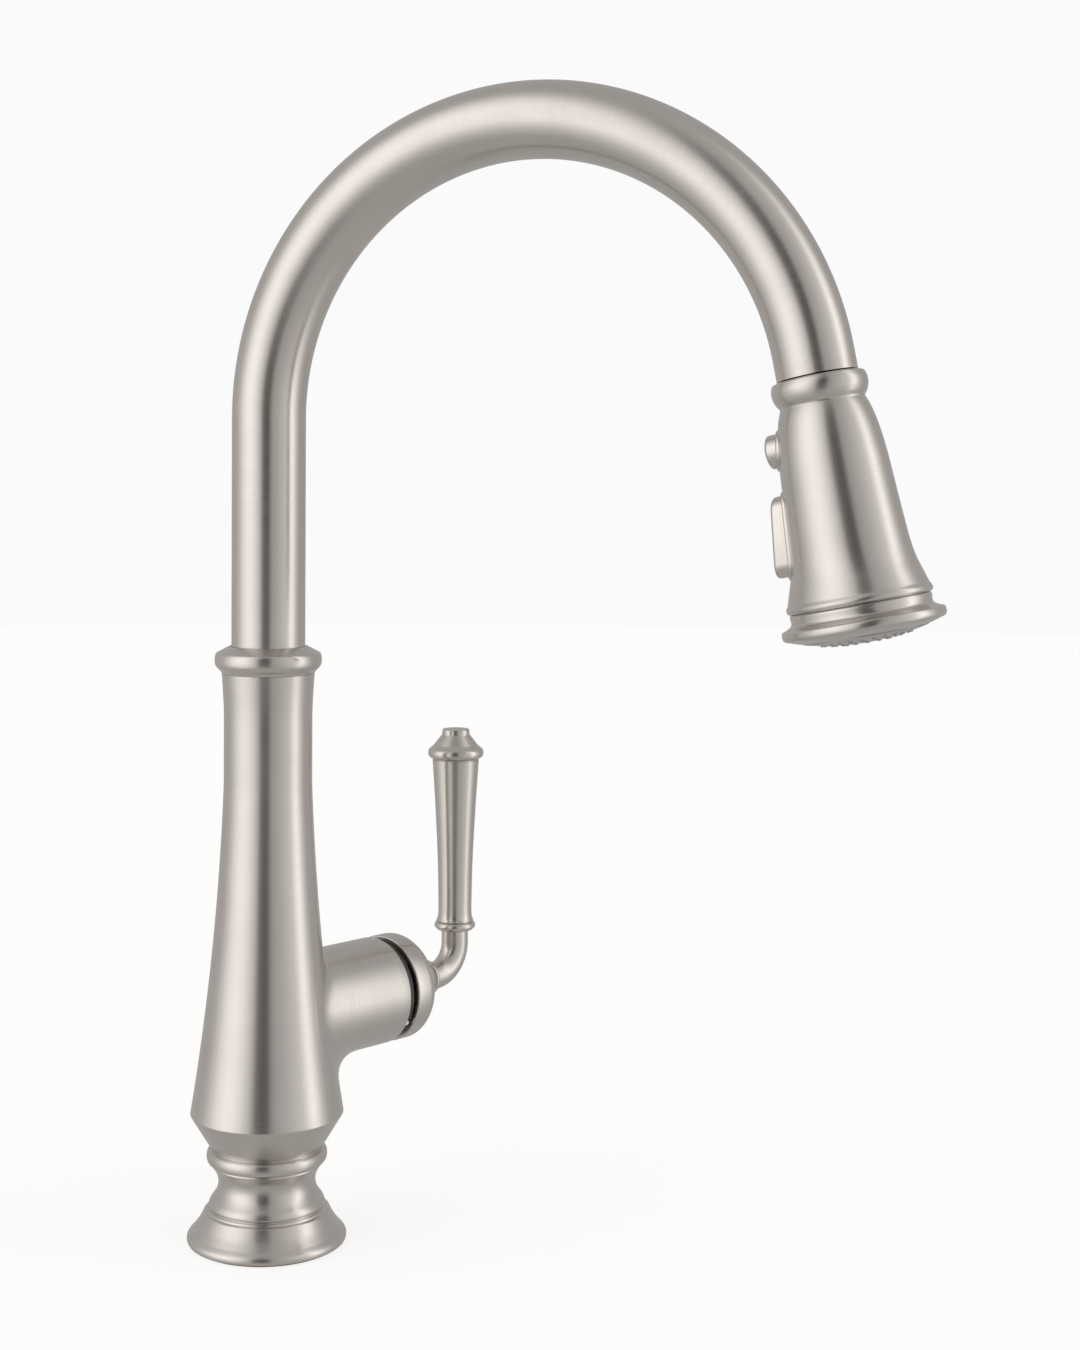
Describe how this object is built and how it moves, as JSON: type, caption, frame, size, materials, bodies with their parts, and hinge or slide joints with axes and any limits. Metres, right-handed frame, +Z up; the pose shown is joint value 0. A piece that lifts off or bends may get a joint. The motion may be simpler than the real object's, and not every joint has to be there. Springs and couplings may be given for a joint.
{
  "type": "pull down kitchen faucet",
  "caption": "Single-hole kitchen faucet with a turned column, swivelling gooseneck spout, side lever valve and a docked pull-down spray head with a pause button and a mode rocker.",
  "frame": {"origin": "centre of the foot's underside, on the face of the deck", "axes": "+Z up; the spout reaches towards -Y at rest; the handle is on the +X side"},
  "size_m": [0.1334, 0.2779, 0.5205],
  "materials": {
    "nickel": "brushed nickel, satin",
    "button_nickel": "satin nickel, slightly brighter",
    "brass": "machined",
    "steel": "bright stainless",
    "copper": "bare copper tube",
    "rubber": "matte black",
    "nozzle_silicone": "matte grey silicone",
    "face_plastic": "satin grey",
    "dark_plastic": "dark moulded acetal",
    "white_plastic": "natural acetal",
    "rotor_plastic": "grey acetal",
    "ceramic": "lapped alumina",
    "hose_braid": "braided nylon over polymer hose"
  },
  "bodies": {
    "column": {"foot": "nickel", "deck_gasket": "rubber", "column_shell": "nickel", "swivel_collar": "nickel", "thrust_washer": "white_plastic", "lower_hose": "hose_braid", "valve_manifold": "brass", "cartridge_body": "white_plastic", "port_seals": "rubber", "fixed_disc": "ceramic", "cartridge_nut": "brass", "bonnet_ring": "dark_plastic", "bonnet_screw": "white_plastic", "shank": "brass", "deck_washer": "rubber", "clamp_washer": "steel", "mounting_nut": "brass", "jack_screws": "steel", "hot_inlet": "copper", "cold_inlet": "copper", "outlet_tube": "brass"},
    "spout": {"spout_tube": "nickel", "spout_shank": "brass", "upper_bush": "white_plastic", "lower_bush": "white_plastic", "friction_ring": "rubber", "dock_insert": "dark_plastic", "spray_hose": "hose_braid"},
    "spray_head": {"hose_plug": "dark_plastic", "hose_ferrule": "steel", "spray_ring": "nickel", "spray_shell": "nickel", "spray_core": "dark_plastic", "check_valve": "white_plastic", "rocker_bezel": "nickel", "rocker_pin": "steel", "pause_bezel": "nickel", "pause_spring": "steel", "spray_rim": "nickel", "face_plate": "face_plastic", "nozzle_mat": "nozzle_silicone", "aerator": "steel"},
    "pause_button": {"pause_button": "button_nickel"},
    "mode_rocker": {"mode_rocker": "button_nickel"},
    "diverter": {"diverter_spool": "white_plastic"},
    "rotor": {"cartridge_rotor": "rotor_plastic", "rotor_pin": "steel"},
    "lever": {"cartridge_stem": "steel", "handle_cap": "nickel", "cap_screw": "steel", "lever_ring": "nickel", "lever_stem": "nickel", "grip_ferrule": "nickel", "lever_grip": "nickel", "finial": "nickel"},
    "ceramic_disc": {"moving_disc": "ceramic"}
  },
  "joints": [
    {"name": "spout_swivel", "type": "hinge", "parent": "column", "child": "spout", "pos_m": [0, 0, 0.2], "axis": [0, 0, 1], "continuous": true},
    {"name": "spray_pull", "type": "slide", "parent": "spout", "child": "spray_head", "axis": [0, -0.1994, -0.9799], "range_m": [0, 0.19]},
    {"name": "pause_press", "type": "slide", "parent": "spray_head", "child": "pause_button", "axis": [0, -0.9799, 0.1994], "range_m": [0, 0.0015], "stiffness_N_per_m": 800, "deforming": ["pause_spring"]},
    {"name": "mode_rock", "type": "hinge", "parent": "spray_head", "child": "mode_rocker", "pos_m": [0, -0.19727, 0.26501], "axis": [1, 0, 0], "range_deg": [-5.2, 0.2]},
    {"name": "diverter_slide", "type": "slide", "parent": "spray_head", "child": "diverter", "axis": [0, -0.1994, -0.9799], "range_m": [-0.000785, 0]},
    {"name": "handle_turn", "type": "hinge", "parent": "column", "child": "rotor", "pos_m": [0.03759, -0.01368, 0.0836], "axis": [0.9397, -0.342, 0], "range_deg": [-45, 45]},
    {"name": "handle_lift", "type": "hinge", "parent": "rotor", "child": "lever", "pos_m": [0.03759, -0.01368, 0.0836], "axis": [0.342, 0.9397, 0], "range_deg": [0, 10]},
    {"name": "disc_slide", "type": "slide", "parent": "rotor", "child": "ceramic_disc", "axis": [0, 0, 1], "range_m": [0, 0.0025]}
  ],
  "couplings": [
    {"joint": "mode_rock", "follows": "diverter_slide", "rad_per_m": 111.1},
    {"joint": "disc_slide", "follows": "handle_lift", "m_per_rad": 0.0088}
  ]
}
